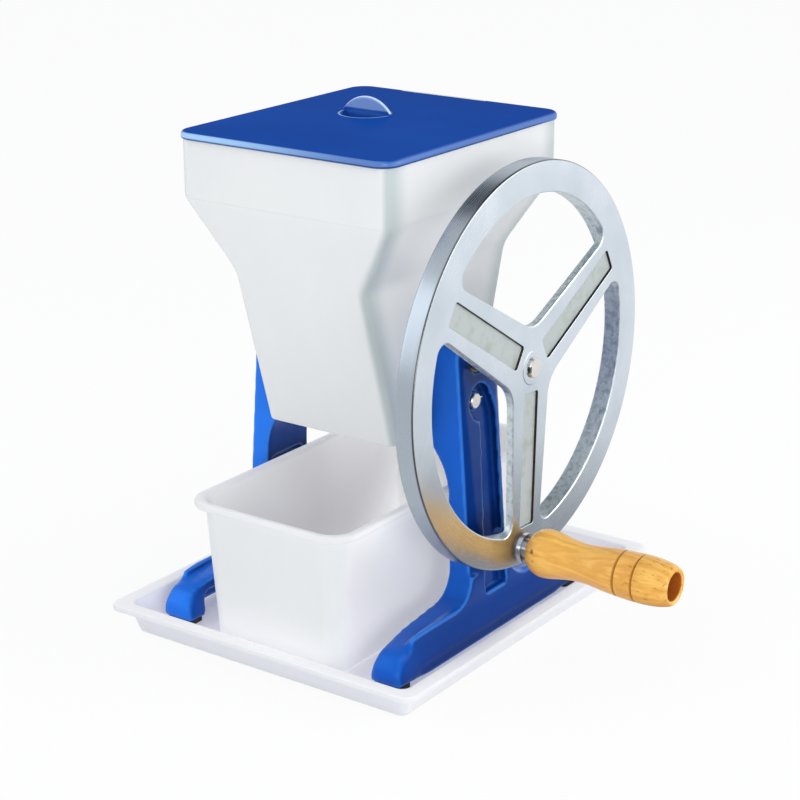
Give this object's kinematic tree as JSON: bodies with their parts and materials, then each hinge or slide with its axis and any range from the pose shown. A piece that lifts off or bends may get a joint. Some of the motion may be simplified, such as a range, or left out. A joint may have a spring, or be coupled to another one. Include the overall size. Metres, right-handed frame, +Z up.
{
  "type": "hand crank ice crusher",
  "caption": "Hand-cranked ice crusher: a lidded hopper feeds a toothed rotor and comb between splayed legs, turned by a spoked flywheel with a wooden handle, over a bin in a tray.",
  "frame": {"origin": "on the underside of the tray, midway between the legs and straight below the drive shaft", "axes": "+Z up; +X along the drive shaft towards the flywheel; -Y towards the front, where the bin is drawn out"},
  "size_m": [0.348, 0.295, 0.3467],
  "materials": {
    "white_plastic": "satin moulded",
    "blue_plastic": "glossy moulded",
    "blue_paint": "gloss enamel on a casting",
    "wheel_metal": "machined and fettled casting",
    "steel": "turned",
    "stainless": "polished",
    "zinc_steel": "bright zinc",
    "bronze": "turned",
    "rubber": "matt",
    "beech": "clear varnish"
  },
  "bodies": {
    "frame": {"tray": "white_plastic", "hopper": "white_plastic", "right_leg": "blue_paint", "left_leg": "blue_paint", "foot_pads": "rubber", "shaft_bushes": "bronze", "comb": "stainless", "comb_shaft": "steel", "comb_pins": "steel", "comb_cotters": "zinc_steel", "front_throat_plate": "stainless", "rear_throat_plate": "stainless", "frame_screws": "zinc_steel", "frame_washers": "zinc_steel"},
    "wheel": {"drive_shaft": "steel", "shaft_clip": "zinc_steel", "wheel_spacer": "steel", "flywheel": "wheel_metal", "wheel_key": "steel", "wheel_set_screw": "zinc_steel", "rotor": "stainless", "rotor_pins": "steel", "thrust_washers": "bronze", "handle_stud": "steel", "stud_washers": "zinc_steel", "stud_nut": "zinc_steel", "grip_washer": "zinc_steel", "grip_nut": "zinc_steel"},
    "grip": {"handle_grip": "beech"},
    "lid": {"lid": "blue_plastic"},
    "bin": {"bin": "white_plastic"}
  },
  "joints": [
    {"name": "wheel_turn", "type": "hinge", "parent": "frame", "child": "wheel", "pos_m": [0, 0, 0.1925], "axis": [1, 0, 0], "continuous": true},
    {"name": "grip_turn", "type": "hinge", "parent": "wheel", "child": "grip", "pos_m": [0.17, -0.0042, 0.07227], "axis": [1, 0, 0], "continuous": true},
    {"name": "lid_lift", "type": "slide", "parent": "frame", "child": "lid", "axis": [0, 0, 1], "range_m": [0, 0.12]},
    {"name": "bin_lift", "type": "slide", "parent": "frame", "child": "bin", "axis": [0, 0, 1], "range_m": [0, 0.022]}
  ]
}
